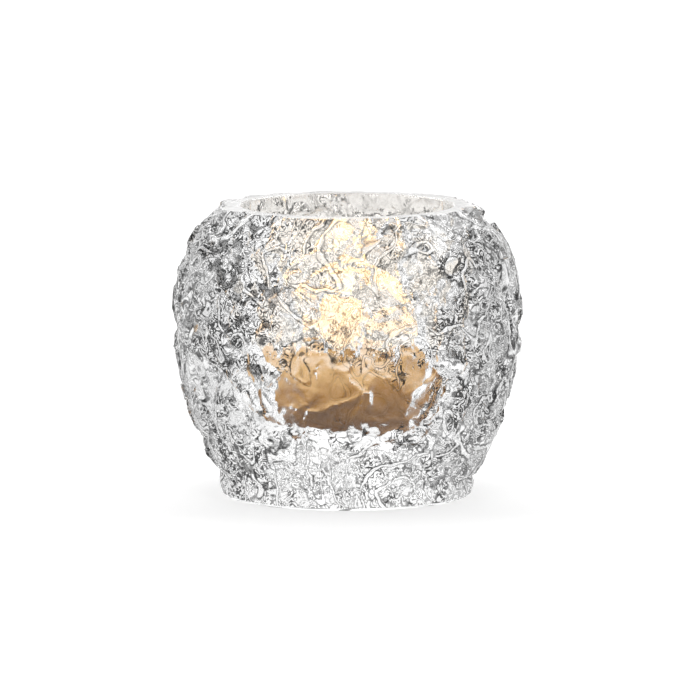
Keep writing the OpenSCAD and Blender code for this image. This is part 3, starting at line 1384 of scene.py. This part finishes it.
    def build_wick(self, finish: bpy.types.Material) -> bpy.types.Object:
        """Extrudes three twisted strands and lays them along the wick's curl.

        Args:
            finish: The cotton's finish.

        Returns:
            The finished piece.
        """
        length = self.wick_straight + self.curl_radius * math.radians(self.curl_angle) - self.wick_short
        clear_selection()
        bpy.ops.mesh.primitive_circle_add(vertices=self.wick_corners, radius=self.wick_radius,
                                          fill_type="NGON")
        piece = bpy.context.object
        piece.name = piece.data.name = "braided_wick"
        for vertex in piece.data.vertices:
            angle = math.atan2(vertex.co.y, vertex.co.x)
            lobe = self.strand_waist + self.strand_swell * abs(math.cos(self.strands * angle / 2))
            vertex.co.xy = vertex.co.xy * lobe
        bpy.ops.object.mode_set(mode="EDIT")
        bpy.ops.mesh.select_all(action="SELECT")
        step = (0, 0, length / self.wick_steps)
        for _ in range(self.wick_steps):
            bpy.ops.mesh.extrude_region_move(TRANSFORM_OT_translate={"value": step})
            bpy.ops.transform.rotate(value=math.radians(self.twist), orient_axis="Z",
                                     center_override=(0, 0, 0))
        bpy.ops.mesh.select_all(action="SELECT")
        bpy.ops.mesh.normals_make_consistent(inside=False)
        bpy.ops.object.mode_set(mode="OBJECT")
        for vertex in piece.data.vertices:
            point, lean = self.wick_point(vertex.co.z)
            beyond = max(0.0, vertex.co.z / length - self.taper_from) / (1 - self.taper_from)
            across = Vector((math.cos(lean), 0, math.sin(lean)))
            aside = across * vertex.co.x + Vector((0, 1, 0)) * vertex.co.y
            vertex.co = point + aside * (1 - self.taper_by * beyond)
        piece.data.materials.append(finish)
        smooth(piece, self.round_above)
        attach(piece, Body.CANDLE.value)
        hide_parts("wick")
        return piece

    def build_flame(self, finish: bpy.types.Material) -> bpy.types.Object:
        """Turns the flame's teardrop and leans it over the wick's tip.

        Args:
            finish: The flame's finish.

        Returns:
            The finished piece.
        """
        foot = self.dish_level + self.flame_foot
        outline = []
        for i in range(self.flame_rows + 1):
            share = i / self.flame_rows
            swell = math.sin(math.pi * share ** self.flame_low) * (1 - self.flame_slim * share)
            outline.append((max(0.0, self.flame_radius * swell), foot + self.flame_height * share))
        outline[0] = (0.0, outline[0][1])
        outline[-1] = (0.0, outline[-1][1])
        piece = turned("flame", outline, self.flame_columns)
        for vertex in piece.data.vertices:
            share = (vertex.co.z - foot) / self.flame_height
            vertex.co.x -= self.flame_lean * math.sin(math.pi * min(1.0, share * self.flame_lean_pace))
            vertex.co.y += self.flame_sway * math.sin(self.flame_sway_pace * share)
        piece.data.materials.append(finish)
        make_active(piece)
        bpy.ops.object.shade_smooth()
        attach(piece, Body.CANDLE.value)
        return piece

    def build_clip(self, finish: bpy.types.Material) -> bpy.types.Object:
        """Dresses the wick clip, whose pressed shape is right as it is."""
        clip = frame["nodes"]["wick_clip"]
        clip.data.materials.clear()
        clip.data.materials.append(finish)
        return clip


@dataclass
class Studio:
    """Pale floor, bright surroundings with dark strips, lamps for mirrored rays only, and the camera."""

    floor_size: float = 8.0
    lamps: float = 6.0
    lamp_rise: float = 0.65
    lamp_fall: float = 4.0
    lamp_edge: Span = (0.1, 0.3)
    lamp: float = 9.0
    surroundings: Surroundings = field(default_factory=Surroundings)
    elevation: float = 7.5
    distance: float = 1.8
    frame_width: float = 0.169
    aim_right: float = 0.7 * MM
    aim_height: float = 34.7 * MM
    sensor: float = 36.0
    seen_range: Span = (0.1, 20.0)

    def build_floor(self, finish: bpy.types.Material) -> bpy.types.Object:
        """Lays the floor under the foot."""
        clear_selection()
        bpy.ops.mesh.primitive_plane_add(size=self.floor_size, location=(0, 0, 0))
        floor = bpy.context.object
        floor.name = "studio_floor"
        floor.data.materials.append(finish)
        return floor

    def build_world(self) -> None:
        """Surrounds the object with the studio, which is plain white to the camera."""
        world = bpy.data.worlds.new("studio")
        bpy.context.scene.world = world
        world.use_nodes = True
        graph = Graph(world.node_tree)
        way = graph.node("ShaderNodeTexCoord").outputs["Generated"]
        light = self.surroundings.light(graph, way)
        azimuth = graph.maths("ARCTAN2", graph.axis(way, "Y"), graph.axis(way, "X"))
        around = graph.maths("COSINE", graph.maths("MULTIPLY", azimuth, self.lamps))
        level = graph.maths("ABSOLUTE", graph.maths("SUBTRACT", graph.axis(way, "Z"), self.lamp_rise))
        spot = graph.maths("SUBTRACT", around, graph.maths("MULTIPLY", level, self.lamp_fall))
        shine = graph.maths("ADD", graph.eased(spot, *self.lamp_edge, 0.0, self.lamp), light)
        path = graph.node("ShaderNodeLightPath").outputs
        mirrored = graph.maths("SUBTRACT", path["Is Reflection Ray"], path["Is Diffuse Ray"])
        light = graph.mixed(graph.maths("GREATER_THAN", mirrored, 0.5), light, shine)
        light = graph.mixed(path["Is Camera Ray"], light, 1.0)
        background = graph.node("ShaderNodeBackground", {"Color": graph.grey(light), "Strength": 1.0})
        graph.node("ShaderNodeOutputWorld", {"Surface": background.outputs[0]})

    def build_camera(self) -> bpy.types.Object:
        """Places the camera a little above the rim's level, aimed at the object's middle."""
        lift = math.radians(self.elevation)
        aim = Vector((self.aim_right, 0, self.aim_height))
        back = Vector((0, -math.cos(lift), math.sin(lift)))
        data = bpy.data.cameras.new("camera")
        data.sensor_width = self.sensor
        data.lens = self.sensor * self.distance / self.frame_width
        data.clip_start, data.clip_end = self.seen_range
        camera = bpy.data.objects.new("camera", data)
        bpy.context.scene.collection.objects.link(camera)
        camera.location = aim + back * self.distance
        camera.rotation_euler = (-back).to_track_quat("-Z", "Y").to_euler()
        bpy.context.scene.camera = camera
        return camera

    def build_look(self) -> None:
        """Shows the light as it is, with no film curve."""
        bpy.context.scene.view_settings.view_transform = "Standard"


def main() -> None:
    """Builds the studio, the glass and the tealight, in that order."""
    logging.basicConfig(level=logging.INFO, format="%(name)s: %(message)s")
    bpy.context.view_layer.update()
    studio = Studio()
    studio.build_look()
    studio.build_world()
    studio.build_camera()
    studio.build_floor(PaleFloor(studio.surroundings).build())

    made = [GlassBowl().build(IcyGlass().build(), PolishedGlass().build(), GroundGlass().build())]
    tealight = Tealight()
    dish = tealight.dish_level
    char_from, char_to = tealight.char
    made += [
        tealight.build_cup(ClearPlastic().build()),
        tealight.build_wax(GlowingWax(tealight.wax_low.z, tealight.wax_high.z).build()),
        tealight.build_pool(MoltenWax().build()),
        tealight.build_wick(CharredCotton(dish + char_from, dish + char_to, tealight.wick_high.z).build()),
        tealight.build_clip(TinnedSteel().build()),
        tealight.build_flame(CandleFlame(dish + tealight.flame_foot,
                                         dish + tealight.flame_coloured).build()),
    ]


if __name__ == "__main__":
    main()
